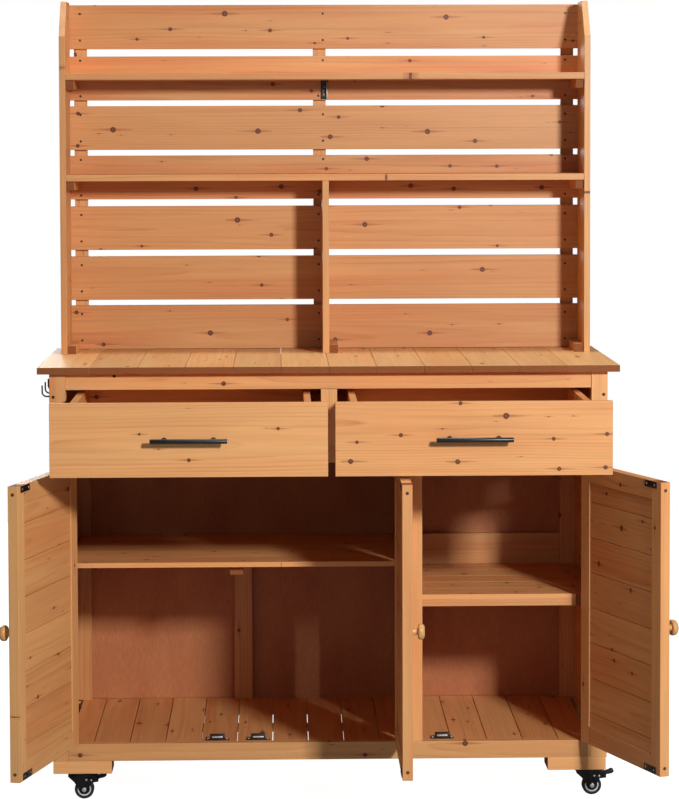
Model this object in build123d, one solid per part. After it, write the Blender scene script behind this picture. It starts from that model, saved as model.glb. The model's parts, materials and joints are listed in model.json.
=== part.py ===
from build123d import *
import os

# Potting bench on castors: a three-door, two-drawer cabinet with a slatted hutch.
# Millimetres. While it is being built, X = 0 is the middle of the cabinet, Y = 0 is the front of its
# posts with the back towards +Y, and Z = 0 is the floor. The last step moves the origin to the middle
# of the footprint of the bench as it stands open.

# ---- cabinet ----
CABINET_W = 1140.0
CABINET_D = 475.0
POST = 33.0
HALF = CABINET_W / 2
INNER = HALF - POST
FLOOR_GAP = 62.0
BLOCK_W = 120.0
BLOCK_D = 72.0
BLOCK_H = 26.0
RAIL_BOTTOM = FLOOR_GAP + BLOCK_H
RAIL_TOP = 124.0
RAIL_T = 18.0
POST_TOP = 886.0
APRON_BOTTOM = 852.0
DRAWER_RAIL_BOTTOM = 701.0
DRAWER_RAIL_TOP = 735.0

# ---- worktop ----
TOP_W = 1186.0
TOP_FRONT = -20.0
TOP_BACK = 490.0
TOP_T = 14.0
TOP_Z = POST_TOP + TOP_T
TOP_PITCH = 97.2
TOP_BOARDS = 12
BOARD_GAP = 0.8

# ---- inside the cabinet ----
MID_POST_X = (157.0, 190.0)
DECK_SEAM = -485.0
DECK_PITCH = 73.6
DECK_BOARDS = 15
DECK_GAP = 1.6
DECK_T = 12.0
BEARER_W = 34.0
BEARER_T = 12.0
BEARER_Y = (208.0, 378.0)
BATTEN_FRONT = 433.0
PANEL_FRONT = 450.0
PANEL_T = 4.0
SHELF_FRONT = 34.0
SHELF_BACK = 430.0
SHELF_BOARD = 79.2
LEFT_SHELF_Z = 492.0
RIGHT_SHELF_Z = 422.0
SHELF_T = 10.5
CLEAT = 19.0

# ---- drawers ----
DRAWER_PULLED = 252.0
FRONT_W = 541.0
FRONT_H = 145.0
FRONT_T = 15.0
FRONT_Z = 706.0
BOX_W = 476.0
BOX_D = 400.0
BOX_Z = (742.0, 844.0)
BOX_T = 14.0
BOX_BOTTOM_T = 5.0
GROOVE_D = 5.8
RUNNER_Z = (785.0, 800.0)
RUNNER_REACH = 27.0
BEARER_HALF = 9.0
RUN_PLAY = 0.8
PULL_L = 150.0
PULL_CENTRES = 96.0
PULL_R = 4.75
PULL_POST_R = 4.0
PULL_STAND = 25.0

# ---- doors ----
DOOR_W = 344.0
DOOR_Z = (125.5, 699.0)
DOOR_T = 20.0
DOOR_RAIL = 37.0
DOOR_INSET = 2.9
DOOR_EDGE_GAP = 1.0
PLANK_T = 10.0
PLANK_BACK_RECESS = 2.0
PLANK_PITCH = 72.0
PLANK_FIRST_SEAM = 192.0
KNOB_R = 15.5
STRIKE_IN = 41.0
STRIKE_W = 48.0
STRIKE_T = 1.2
EDGE_SCREW_R = 3.4
EDGE_SCREW_T = 0.4
EDGE_SCREW_IN = 16.0
HINGE_H = 50.0
HINGE_IN = 75.0
KNUCKLE_R = 2.6
PIN_R = 1.2
PIN_PLAY = 0.05
LEAF_T = 0.8
LEAF_D = 16.0
# name, pivot X, side that the closed door lies on, opening angle at rest
DOORS = [
    ("left_door", -536.0, 1, 105.0),
    ("middle_door", 156.0, -1, 90.0),
    ("right_door", 536.0, -1, 110.0),
]

# ---- hutch ----
HUTCH_FRONT = 315.0
HUTCH_BACK = 452.0
HUTCH_TOP = 1659.0
SIDE_T = 13.0
CORNER_CUT = (60.0, 77.0)
SLAT_T = 12.0
SLAT_H = 96.0
SLAT_TOPS = (1655.0, 1543.0, 1434.5, 1326.0, 1215.0, 1105.0, 997.0)
HUTCH_BATTEN_W = 28.0
HUTCH_BATTEN_T = 12.0
HUTCH_BATTEN_X = (-535.0, -10.7, 535.0)
SLAT_SCREW_ENDS = (-534.5, 530.0)
SLAT_SCREW_MIDDLE = -3.0
SLAT_SCREW_CLEAR = -13.5
BRACKET_H = 40.0
HUTCH_SHELVES = (1503.0, 1286.0)
HUTCH_SHELF_T = 14.0
DIVIDER_T = 14.0

# ---- castors ----
CASTOR_X = 526.0
CASTOR_Y = (50.0, 425.0)
WHEEL_R = 20.0
WHEEL_W = 17.0
HUB_R = 14.0
TRAIL = 18.0
AXLE_R = 3.0
FIT = 0.05
ARM_T = 2.0
ARM_GAP = 21.0
PEDAL_PIN = (33.0, 40.0)
SPRING_RIVET = (22.5, 41.0)

nodes = {}


def board(xa, xb, ya, yb, za, zb):
    """A squared board between two opposite corners, given in any order."""
    size = (abs(xb - xa), abs(yb - ya), abs(zb - za))
    return Pos((xa + xb) / 2, (ya + yb) / 2, (za + zb) / 2) * Box(*size)


def rod(radius, start, end):
    """A round bar between two points that lie on a line along X, Y or Z."""
    a, b = Vector(*start), Vector(*end)
    return Plane((a + b) * 0.5, z_dir=b - a) * Cylinder(radius, (b - a).length)


def plate_xz(outline, ya, yb):
    """A plate whose flat outline lies in X and Z, between ya in front and yb behind."""
    return extrude(Pos(0, yb, 0) * (Plane.XZ * outline), yb - ya)


def bar_outline(points):
    """A flat outline through points that run anticlockwise."""
    return Polygon(*points, align=None)


# ------------------------------------------------------------------ cabinet
def carcass():
    depth = (POST, CABINET_D - POST)
    nodes["castor_blocks"] = [
        board(side * (HALF - 2), side * (HALF - 2 - BLOCK_W), y, y + BLOCK_D, FLOOR_GAP, RAIL_BOTTOM)
        for side in (-1, 1)
        for y in (0, CABINET_D - BLOCK_D)
    ]
    nodes["corner_posts"] = [
        board(side * INNER, side * HALF, y, y + POST, RAIL_BOTTOM, POST_TOP)
        for side in (-1, 1)
        for y in (0, CABINET_D - POST)
    ]
    back_rail = (CABINET_D - RAIL_T - 2, CABINET_D - 2)
    rails = [
        board(-INNER, INNER, 3, 3 + RAIL_T, APRON_BOTTOM, POST_TOP),
        board(-INNER, INNER, *back_rail, APRON_BOTTOM, POST_TOP),
        board(-INNER, INNER, 0, POST, DRAWER_RAIL_BOTTOM, DRAWER_RAIL_TOP),
        board(-INNER, INNER, 0, RAIL_T, RAIL_BOTTOM, RAIL_TOP),
        board(-INNER, INNER, *back_rail, RAIL_BOTTOM, RAIL_TOP),
    ]
    for side in (-1, 1):
        side_x = (side * (HALF - 4), side * (HALF - 4 - RAIL_T))
        rails.append(board(*side_x, *depth, APRON_BOTTOM, POST_TOP))
        rails.append(board(*side_x, *depth, RAIL_BOTTOM, RAIL_TOP))
    nodes["frame_rails"] = rails
    nodes["mid_posts"] = [
        board(-POST / 2, 0, 0, POST, DRAWER_RAIL_TOP, APRON_BOTTOM),
        board(0, POST / 2, 0, POST, DRAWER_RAIL_TOP, APRON_BOTTOM),
        board(*MID_POST_X, 0, POST, RAIL_TOP, DRAWER_RAIL_BOTTOM),
    ]
    plank_h = (APRON_BOTTOM - RAIL_TOP) / 10
    nodes["side_planks"] = [
        board(side * (HALF - 7), side * (HALF - 19), *depth,
              RAIL_TOP + row * plank_h, RAIL_TOP + (row + 1) * plank_h - BOARD_GAP)
        for side in (-1, 1)
        for row in range(10)
    ]
    middle = sum(MID_POST_X) / 2
    partition_h = (DRAWER_RAIL_BOTTOM - RAIL_TOP) / 8
    nodes["partition_planks"] = [
        board(middle - 6, middle + 6, POST, BATTEN_FRONT,
              RAIL_TOP + row * partition_h, RAIL_TOP + (row + 1) * partition_h - BOARD_GAP)
        for row in range(8)
    ]


def worktop():
    edges = [-TOP_W / 2]
    edges += [(i - TOP_BOARDS / 2) * TOP_PITCH for i in range(1, TOP_BOARDS)]
    edges += [TOP_W / 2]
    boards = []
    for left, right in zip(edges, edges[1:]):
        gap = BOARD_GAP if right < TOP_W / 2 else 0
        boards.append(board(left, right - gap, TOP_FRONT, TOP_BACK, POST_TOP, TOP_Z))
    nodes["worktop_boards"] = boards
    # The stretcher and the two bearers beside it carry the middle of the boards.
    stretcher = (225.0, 260.0)
    inside = HALF - 4 - RAIL_T
    nodes["inner_bearers"] = [
        board(-inside, inside, *stretcher, POST_TOP - 20, POST_TOP),
        board(-POST / 2, POST / 2, 3 + RAIL_T, stretcher[0], APRON_BOTTOM, POST_TOP),
        board(-POST / 2, POST / 2, stretcher[1], CABINET_D - RAIL_T - 2, APRON_BOTTOM, POST_TOP),
    ]


def deck():
    edges = [DECK_SEAM + (i - 1) * DECK_PITCH for i in range(DECK_BOARDS + 1)]
    boards = []
    for left, right in zip(edges, edges[1:]):
        start = max(left, -INNER)
        end = min(right - DECK_GAP, INNER)
        boards.append(board(start, end, RAIL_T, PANEL_FRONT, RAIL_TOP - DECK_T, RAIL_TOP))
    nodes["deck_boards"] = boards
    # Two flat battens carry the boards. Light from the floor comes up through the open seams beside them.
    under = RAIL_TOP - DECK_T
    nodes["inner_bearers"] += [
        board(-INNER, INNER, y, y + BEARER_W, under - BEARER_T, under) for y in BEARER_Y
    ]


def back():
    nodes["back_panel"] = [
        board(-INNER, INNER, PANEL_FRONT, PANEL_FRONT + PANEL_T, RAIL_TOP, APRON_BOTTOM)
    ]
    batten_y = (BATTEN_FRONT, PANEL_FRONT)
    middle_rail = (454.0, 490.0)
    upstand = (RIGHT_SHELF_Z, middle_rail[0])
    # Each corner batten is rebated over the front of its rear post and reaches the side planks.
    post_face = CABINET_D - POST
    battens = []
    for side in (-1, 1):
        inner_half = board(side * INNER, side * (INNER - 20), *batten_y, RAIL_TOP, APRON_BOTTOM)
        outer_half = board(side * (HALF - 19), side * INNER, BATTEN_FRONT, post_face,
                           RAIL_TOP, APRON_BOTTOM)
        battens.append(inner_half + outer_half)
    left_batten = (-202.0, -163.0)
    battens.append(board(*left_batten, *batten_y, RAIL_TOP, middle_rail[0]))
    battens.append(board(20 - INNER, INNER - 20, *batten_y, *middle_rail))
    battens.append(board(MID_POST_X[1], INNER - 20, *batten_y, *upstand))
    nodes["back_battens"] = battens


def shelf_boards(xa, xb, top):
    rows = int((SHELF_BACK - SHELF_FRONT) / SHELF_BOARD)
    return [
        board(xa, xb, SHELF_FRONT + row * SHELF_BOARD,
              SHELF_FRONT + (row + 1) * SHELF_BOARD - BOARD_GAP, top - SHELF_T, top)
        for row in range(rows)
    ]


def shelves():
    middle = sum(MID_POST_X) / 2
    left_of_partition, right_of_partition = middle - 6, middle + 6
    wall = HALF - 19
    under_left = (LEFT_SHELF_Z - SHELF_T - CLEAT, LEFT_SHELF_Z - SHELF_T)
    nodes["left_shelf"] = shelf_boards(-INNER + 1, left_of_partition, LEFT_SHELF_Z)
    nodes["right_shelf"] = shelf_boards(right_of_partition, INNER - 28, RIGHT_SHELF_Z)
    front_z = (RIGHT_SHELF_Z - SHELF_T - 14, RIGHT_SHELF_Z - SHELF_T)
    run = (SHELF_FRONT + 16, SHELF_BACK)
    nodes["shelf_cleats"] = [
        board(-wall, CLEAT - wall, POST + 1, SHELF_BACK, *under_left),
        board(left_of_partition - CLEAT, left_of_partition, POST + 1, SHELF_BACK, *under_left),
        board(-205, -178, SHELF_FRONT + 20, SHELF_BACK, *under_left),
        board(INNER - 28, wall, POST + 1, SHELF_BACK, front_z[0], RIGHT_SHELF_Z),
        board(INNER - 28 - CLEAT, INNER - 28, *run, *front_z),
        board(right_of_partition, right_of_partition + CLEAT, *run, *front_z),
        board(MID_POST_X[1], INNER - 28, SHELF_FRONT, SHELF_FRONT + 16, *front_z),
    ]


def runners():
    nodes["drawer_runners"] = [
        board(side * INNER, side * (INNER - RUNNER_REACH), 4, PANEL_FRONT - 18, *RUNNER_Z)
        for side in (-1, 1)
    ] + [
        board(side * BEARER_HALF, side * inner_runner_end(), POST, PANEL_FRONT - 18, *RUNNER_Z)
        for side in (-1, 1)
    ]
    nodes["inner_bearers"] += [
        board(-BEARER_HALF, BEARER_HALF, POST, PANEL_FRONT, DRAWER_RAIL_TOP - 20, APRON_BOTTOM)
    ]


def drawer_centre():
    return (INNER + POST / 2) / 2


def inner_runner_end():
    """How far from the middle of the cabinet the middle runners reach into the drawer side."""
    return drawer_centre() - BOX_W / 2 + RUNNER_REACH - (INNER - drawer_centre() - BOX_W / 2)


# ------------------------------------------------------------------ drawers
def drawer(name, side):
    """One drawer, pulled out by DRAWER_PULLED. side is -1 on the left and 1 on the right."""
    cx = side * drawer_centre()
    y0 = -DRAWER_PULLED
    front_x = side * (FRONT_W / 2 + 7)
    groove_z = (RUNNER_Z[0] - RUN_PLAY, RUNNER_Z[1] + RUN_PLAY)
    nodes[name + "_front"] = [
        board(front_x - FRONT_W / 2, front_x + FRONT_W / 2, y0 - FRONT_T, y0,
              FRONT_Z, FRONT_Z + FRONT_H)
    ]
    box = []
    for edge in (-1, 1):
        outer = cx + edge * BOX_W / 2
        cheek = board(outer, outer - edge * BOX_T, y0, y0 + BOX_D, *BOX_Z)
        box.append(cheek - board(outer + edge, outer - edge * GROOVE_D, y0 - 1, y0 + BOX_D + 1, *groove_z))
    inner = BOX_W / 2 - BOX_T
    box.append(board(cx - inner, cx + inner, y0 + BOX_D - BOX_T, y0 + BOX_D, *BOX_Z))
    floor_z = (BOX_Z[0] + 8, BOX_Z[0] + 8 + BOX_BOTTOM_T)
    box.append(board(cx - inner, cx + inner, y0, y0 + BOX_D - BOX_T, *floor_z))
    nodes[name + "_box"] = box
    face = y0 - FRONT_T
    bar_y = face - PULL_STAND
    z = FRONT_Z + FRONT_H / 2
    bar = rod(PULL_R, (front_x - PULL_L / 2, bar_y, z), (front_x + PULL_L / 2, bar_y, z))
    posts = [
        rod(PULL_POST_R, (front_x + end * PULL_CENTRES / 2, face, z),
            (front_x + end * PULL_CENTRES / 2, bar_y, z)) - bar
        for end in (-1, 1)
    ]
    nodes[name + "_pull"] = [bar] + posts


# ------------------------------------------------------------------ doors
def hinge_heights():
    return (DOOR_Z[0] + HINGE_IN, DOOR_Z[1] - HINGE_IN)


def knuckle(z_low, z_high):
    ring = rod(KNUCKLE_R, (0, 0, z_low), (0, 0, z_high))
    return ring - rod(PIN_R + PIN_PLAY, (0, 0, z_low - 1), (0, 0, z_high + 1))


def hinge_leaf(side, own, z):
    """A leaf with its knuckle, about a pin at the origin. own is 1 on the door and -1 on the post."""
    third = HINGE_H / 3
    low, high = z - HINGE_H / 2, z + HINGE_H / 2
    face = side * own * DOOR_EDGE_GAP
    back = side * own * (DOOR_EDGE_GAP - LEAF_T)
    leaf = board(face, back, KNUCKLE_R + 0.3, LEAF_D, low, high)
    if own == 1:
        spans = [(low + third + 0.2, high - third - 0.2)]
    else:
        spans = [(low, low + third - 0.2), (high - third + 0.2, high)]
    for span in spans:
        tab = board(face, back, 0, KNUCKLE_R + 0.4, *span)
        tab -= rod(PIN_R + PIN_PLAY, (0, 0, low), (0, 0, high))
        leaf += tab + knuckle(*span)
    return leaf


def plank_edges():
    low, high = DOOR_Z[0] + DOOR_RAIL, DOOR_Z[1] - DOOR_RAIL
    seams = [PLANK_FIRST_SEAM + i * PLANK_PITCH for i in range(7)]
    return [low] + seams + [high]


def knob(x, y, z):
    """A turned mushroom knob whose foot stands on a face that looks towards -Y."""
    head = Pos(0, 0, 17.5) * Cylinder(KNOB_R, 13)
    rims = head.edges().filter_by(GeomType.CIRCLE).sort_by(Axis.Z)
    head = fillet(rims[-1], 7)
    head = fillet(head.edges().filter_by(GeomType.CIRCLE).sort_by(Axis.Z)[0], 4)
    turned = head + Pos(0, 0, 6) * Cylinder(6.5, 12) + Pos(0, 0, 1) * Cylinder(8, 2)
    return Pos(x, y, z) * Rot(90, 0, 0) * turned


def door(name, pivot_x, side, angle):
    """A door, made closed about its own pivot and then swung open by the angle."""
    front, inside = DOOR_INSET, DOOR_INSET + DOOR_T
    near, far = side * DOOR_EDGE_GAP, side * (DOOR_EDGE_GAP + DOOR_W)
    stile = side * DOOR_RAIL
    low, high = DOOR_Z
    frame = [
        board(near, near + stile, front, inside, low, high),
        board(far - stile, far, front, inside, low, high),
        board(near + stile, far - stile, front, inside, low, low + DOOR_RAIL),
        board(near + stile, far - stile, front, inside, high - DOOR_RAIL, high),
    ]
    edges = plank_edges()
    plank_back = inside - PLANK_BACK_RECESS
    planks = [
        board(near + stile, far - stile, plank_back - PLANK_T, plank_back, a, b - BOARD_GAP)
        for a, b in zip(edges, edges[1:])
    ]
    strike_x = far - side * STRIKE_IN
    strikes = [
        board(strike_x - STRIKE_W / 2, strike_x + STRIKE_W / 2, inside, inside + STRIKE_T, z, z + 13)
        for z in (low + 2, high - 14)
    ]
    leaves = [hinge_leaf(side, 1, z) for z in hinge_heights()]
    centre = (front + inside) / 2
    edge_screws = [
        rod(EDGE_SCREW_R, (far, centre, z), (far + side * EDGE_SCREW_T, centre, z))
        for z in (low + EDGE_SCREW_IN, high - EDGE_SCREW_IN)
    ]
    parts = {
        name + "_frame": frame,
        name + "_planks": planks,
        name + "_knob": [knob(far - side * DOOR_RAIL / 2, front, sum(DOOR_Z) / 2)],
        name + "_plates": strikes + leaves + edge_screws,
    }
    swing = Pos(pivot_x, -DOOR_INSET, 0) * Rot(0, 0, -side * angle)
    for node, solids in parts.items():
        nodes[node] = [swing * solid for solid in solids]


def door_fittings():
    hinges, catches = [], []
    for _, pivot_x, side, _ in DOORS:
        place = Pos(pivot_x, -DOOR_INSET, 0)
        for z in hinge_heights():
            hinges.append(place * hinge_leaf(side, -1, z))
            hinges.append(place * rod(PIN_R, (0, 0, z - HINGE_H / 2), (0, 0, z + HINGE_H / 2)))
        x = pivot_x + side * (DOOR_EDGE_GAP + DOOR_W - STRIKE_IN)
        y = DOOR_T + STRIKE_T + 0.4
        for foot, up in ((RAIL_TOP, 1), (DRAWER_RAIL_BOTTOM, -1)):
            body = board(x - 15, x + 15, y, y + 12, foot, foot + up * 12)
            ears = board(x - 24, x + 24, y + 1, y + 12, foot, foot + up * 2.5)
            catches.append(body + ears)
    nodes["cabinet_hinges"] = hinges
    nodes["door_catches"] = catches


# ------------------------------------------------------------------ hutch
def hutch():
    cut_y, cut_z = CORNER_CUT
    outline = Polygon((HUTCH_FRONT, TOP_Z), (HUTCH_BACK, TOP_Z), (HUTCH_BACK, HUTCH_TOP),
                      (HUTCH_FRONT + cut_y, HUTCH_TOP), (HUTCH_FRONT, HUTCH_TOP - cut_z), align=None)
    side_panel = extrude(Plane.YZ * outline, SIDE_T)
    nodes["hutch_sides"] = [Pos(-HALF, 0, 0) * side_panel, Pos(HALF - SIDE_T, 0, 0) * side_panel]
    slat_y = (HUTCH_BACK, HUTCH_BACK + SLAT_T)
    nodes["hutch_slats"] = [
        board(-HALF, HALF, *slat_y, max(top - SLAT_H, TOP_Z), top) for top in SLAT_TOPS
    ]
    half_batten = HUTCH_BATTEN_W / 2
    nodes["hutch_battens"] = [
        board(x - half_batten, x + half_batten, slat_y[1], slat_y[1] + HUTCH_BATTEN_T,
              TOP_Z, SLAT_TOPS[0])
        for x in HUTCH_BATTEN_X
    ]
    inside = HALF - SIDE_T
    nodes["hutch_shelves"] = [
        board(-inside, inside, HUTCH_FRONT, HUTCH_BACK, top - HUTCH_SHELF_T, top)
        for top in HUTCH_SHELVES
    ]
    nodes["hutch_divider"] = [
        board(-DIVIDER_T / 2, DIVIDER_T / 2, HUTCH_FRONT, HUTCH_BACK,
              TOP_Z, HUTCH_SHELVES[1] - HUTCH_SHELF_T)
    ]
    cleat_y = (HUTCH_FRONT + 6, HUTCH_BACK)
    cleats = []
    for side in (-1, 1):
        for shelf_top in HUTCH_SHELVES:
            under = shelf_top - HUTCH_SHELF_T
            cleats.append(board(side * inside, side * (inside - 18), *cleat_y, under - CLEAT, under))
        cleats.append(board(side * inside, side * (inside - CLEAT), *cleat_y, TOP_Z, TOP_Z + 18))
    cleats.append(board(DIVIDER_T / 2, DIVIDER_T / 2 + CLEAT, *cleat_y, TOP_Z, TOP_Z + 18))
    nodes["hutch_cleats"] = cleats


def bracket():
    under = HUTCH_SHELVES[0] - HUTCH_SHELF_T
    upright = board(-7.5, 7.5, HUTCH_BACK - 2, HUTCH_BACK, under - BRACKET_H, under)
    foot = board(-7.5, 7.5, HUTCH_BACK - 40, HUTCH_BACK - 2, under - 2, under)
    screw_holes = [rod(2, (0, HUTCH_BACK - 5, under - d), (0, HUTCH_BACK + 5, under - d)) for d in (14, 30)]
    nodes["shelf_bracket"] = [upright + foot - screw_holes[0] - screw_holes[1]]


def middle_screw_x(z):
    """The middle screws stand clear of the divider and of the bracket where those are in front of them."""
    above_divider = z > HUTCH_SHELVES[1]
    behind_bracket = HUTCH_SHELVES[0] - HUTCH_SHELF_T - BRACKET_H - 5 < z < HUTCH_SHELVES[0]
    return SLAT_SCREW_MIDDLE if above_divider and not behind_bracket else SLAT_SCREW_CLEAR


def screw_heads():
    """Dark heads of the wood screws: two through each slat at each batten, one in the front apron and
    one in the head of each front post. The two slats that the shelves cross are screwed nearer their
    edges."""
    head_r, head_t = 2.6, 0.6
    heads = []
    for top in SLAT_TOPS:
        crossed = any(top - SLAT_H < shelf < top for shelf in HUTCH_SHELVES)
        for down in (9.0, 87.0) if crossed else (19.0, 77.0):
            z = top - down
            for x in (SLAT_SCREW_ENDS[0], middle_screw_x(z), SLAT_SCREW_ENDS[1]):
                heads.append(rod(head_r, (x, HUTCH_BACK - head_t, z), (x, HUTCH_BACK, z)))
    head_r = 3.4
    heads.append(rod(head_r, (-438, 3 - head_t, POST_TOP - 6), (-438, 3, POST_TOP - 6)))
    for x in (-HALF + 8, HALF - 8):
        heads.append(rod(head_r, (x, -head_t, 838), (x, 0, 838)))
    nodes["wood_screws"] = heads


def tool_hooks():
    """J hooks of round wire, each on a small round rose against the left side of the cabinet."""
    wire_r, reach = 1.6, 11.0
    hooks = []
    for y in (17.0, 91.0, 165.0):
        wall = -HALF if y < POST else -HALF + 7
        low, tip = 838.0, 861.0
        bend = 9.0
        path = Line((wall, y, low), (-HALF - reach + bend / 2, y, low))
        path += ThreePointArc((-HALF - reach + bend / 2, y, low),
                              (-HALF - reach - bend * 0.207, y, low + bend * 0.293),
                              (-HALF - reach - bend / 2, y, low + bend))
        path += Line((-HALF - reach - bend / 2, y, low + bend), (-HALF - reach - bend / 2, y, tip))
        wire = sweep(Plane((wall, y, low), z_dir=(-1, 0, 0)) * Circle(wire_r), path)
        hooks.append(wire + rod(5, (wall, y, low), (wall - 1.5, y, low)))
    nodes["tool_hooks"] = hooks


# ------------------------------------------------------------------ castors
def castor_plates():
    plates = []
    for x in (-CASTOR_X, CASTOR_X):
        for y in CASTOR_Y:
            plate = board(x - 26, x + 26, y - 20, y + 20, FLOOR_GAP - 2.5, FLOOR_GAP)
            plate += rod(15, (x, y, 56), (x, y, FLOOR_GAP - 2.5))
            plate += rod(4, (x, y, 49), (x, y, 56)) + rod(6.5, (x, y, 46.8), (x, y, 49.2))
            plates.append(plate)
    nodes["castor_plates"] = plates


def castor(name, x, y, pedal):
    """A fork that trails towards +X under the kingpin at x, y, with its hub and tyre. A braked castor has
    a pedal, and a rivet through each arm for its spring."""
    axle = (x + TRAIL, WHEEL_R)
    half_gap = ARM_GAP / 2
    outline = bar_outline([(-15, 47), (-4, 37), (11.2, 18), (24.5, 18), (34, 34.5),
                           (47.5, 36.5), (47.5, 44), (44, 50.5), (-15, 52.5)])
    arm = Pos(x, 0) * outline + Pos(axle[0], axle[1]) * Circle(7)
    arm -= Pos(axle[0], axle[1]) * Circle(AXLE_R + FIT)
    arm -= Pos(x + PEDAL_PIN[0], PEDAL_PIN[1]) * Circle(2 + FIT)
    arms = [plate_xz(arm, y - half_gap - ARM_T, y - half_gap),
            plate_xz(arm, y + half_gap, y + half_gap + ARM_T)]
    crown = board(x - 15, x + 20, y - half_gap - ARM_T, y + half_gap + ARM_T, 49.5, 52.5)
    crown += rod(15, (x, y, 52.5), (x, y, 55.7))
    crown -= rod(4 + FIT, (x, y, 40), (x, y, 60))
    fork = crown + arms[0] + arms[1]
    reach = half_gap + ARM_T
    if pedal:
        for s in (-1, 1):
            fork += rod(2, (x + SPRING_RIVET[0], y + s * half_gap, SPRING_RIVET[1]),
                        (x + SPRING_RIVET[0], y + s * (reach + 1.2), SPRING_RIVET[1]))
    pin = rod(AXLE_R, (axle[0], y - reach - 1.5, axle[1]), (axle[0], y + reach + 1.5, axle[1]))
    heads = [rod(4.5, (axle[0], y + s * (reach + 0.1), axle[1]), (axle[0], y + s * (reach + 2.4), axle[1]))
             for s in (-1, 1)]
    rivets = [rod(2, (x + PEDAL_PIN[0], y - reach - 1.5, PEDAL_PIN[1]),
                  (x + PEDAL_PIN[0], y + reach + 1.5, PEDAL_PIN[1]))]
    nodes[name + "_fork"] = [fork, pin + heads[0] + heads[1]] + rivets
    turn = Pos(axle[0], y, axle[1]) * Rot(90, 0, 0)
    tyre = Cylinder(WHEEL_R, WHEEL_W)
    tyre = fillet(tyre.edges().filter_by(GeomType.CIRCLE), 2.5) - Cylinder(HUB_R + 0.1, WHEEL_W + 2)
    hub = Cylinder(HUB_R, WHEEL_W - 1) + Cylinder(5.5, ARM_GAP - 2)
    for s in (-1, 1):
        dish = Pos(0, 0, s * (WHEEL_W / 2)) * (Cylinder(HUB_R - 2.5, 5) - Cylinder(6.5, 6))
        hub -= dish
    hub -= Cylinder(AXLE_R + FIT, ARM_GAP + 5)
    nodes[name + "_tyre"] = [turn * tyre]
    nodes[name + "_hub"] = [turn * hub]
    if pedal:
        px, pz = x + PEDAL_PIN[0], PEDAL_PIN[1]
        shape = bar_outline([(0, 0), (1.5, -4), (5, -6.5), (8, -4), (11, 1), (27, 4.5), (31, 8),
                             (30, 11.5), (26, 12.5), (20, 9.5), (0, 3.8)])
        body = plate_xz(Pos(px, pz) * (shape + Circle(3.8)), y - 8, y + 8)
        body -= rod(2 + FIT, (px, y - 12, pz), (px, y + 12, pz))
        nodes[name + "_pedal"] = [body]


def castors():
    castor_plates()
    for row, y in zip(("front", "rear"), CASTOR_Y):
        for word, x in (("left", -CASTOR_X), ("right", CASTOR_X)):
            castor(row + "_" + word + "_castor", x, y, row == "front")


def footprint_centre():
    """The middle of the footprint of the bench with its doors and drawers as they stand."""
    boxes = [solid.bounding_box() for solids in nodes.values() for solid in solids]
    x = (min(b.min.X for b in boxes) + max(b.max.X for b in boxes)) / 2
    y = (min(b.min.Y for b in boxes) + max(b.max.Y for b in boxes)) / 2
    return x, y


carcass()
worktop()
deck()
back()
shelves()
runners()
drawer("left_drawer", -1)
drawer("right_drawer", 1)
for door_facts in DOORS:
    door(*door_facts)
door_fittings()
hutch()
bracket()
screw_heads()
tool_hooks()
castors()

ORIGIN = footprint_centre()
os.makedirs("parts", exist_ok=True)
for node, solids in nodes.items():
    placed = [Pos(-ORIGIN[0], -ORIGIN[1], 0) * solid for solid in solids]
    export_step(Compound(children=placed), "parts/" + node + ".step")
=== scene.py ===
import json
import math
import random

import bmesh
import bpy
from mathutils import Matrix, Vector

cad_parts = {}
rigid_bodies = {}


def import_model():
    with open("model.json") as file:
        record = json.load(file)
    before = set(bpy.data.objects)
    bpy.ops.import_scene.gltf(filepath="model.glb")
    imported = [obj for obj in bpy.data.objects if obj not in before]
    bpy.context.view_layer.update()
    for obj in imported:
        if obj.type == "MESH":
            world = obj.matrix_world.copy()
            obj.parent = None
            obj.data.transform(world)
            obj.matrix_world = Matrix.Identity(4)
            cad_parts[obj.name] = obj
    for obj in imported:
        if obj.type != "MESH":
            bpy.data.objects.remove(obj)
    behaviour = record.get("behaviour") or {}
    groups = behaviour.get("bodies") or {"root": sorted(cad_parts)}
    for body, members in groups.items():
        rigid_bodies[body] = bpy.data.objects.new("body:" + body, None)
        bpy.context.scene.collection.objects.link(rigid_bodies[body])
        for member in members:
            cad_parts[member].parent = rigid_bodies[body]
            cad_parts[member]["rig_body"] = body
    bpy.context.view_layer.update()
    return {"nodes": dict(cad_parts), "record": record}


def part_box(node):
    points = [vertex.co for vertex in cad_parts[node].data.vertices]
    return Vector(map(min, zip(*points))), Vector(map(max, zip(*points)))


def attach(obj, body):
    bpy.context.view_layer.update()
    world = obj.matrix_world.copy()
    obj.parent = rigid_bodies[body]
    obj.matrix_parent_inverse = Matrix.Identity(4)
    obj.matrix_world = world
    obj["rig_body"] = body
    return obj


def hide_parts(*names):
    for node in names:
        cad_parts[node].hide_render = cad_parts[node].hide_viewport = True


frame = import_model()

# Looks of a potting bench: varnished fir boards on a framed cabinet, black fittings and small castors.
# Metres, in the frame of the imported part: +Z up, the front faces -Y.
MM = 0.001
RECORD_SLOTS = {part["node"]: part["material_slot"] for part in frame["record"]["subparts"]}


# ------------------------------------------------------------------ where things are
def middle(node):
    low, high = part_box(node)
    return (low + high) / 2


POSTS_LOW, POSTS_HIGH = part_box("corner_posts")
CABINET_X = (POSTS_LOW.x + POSTS_HIGH.x) / 2
FACE_Y = POSTS_LOW.y


# ------------------------------------------------------------------ shader nodes
def linear(hex_colour):
    """An sRGB colour written as a hex number, turned to linear RGBA."""
    channels = [(hex_colour >> shift & 255) / 255 for shift in (16, 8, 0)]
    return [c / 12.92 if c <= 0.04045 else ((c + 0.055) / 1.055) ** 2.4 for c in channels] + [1.0]


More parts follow.
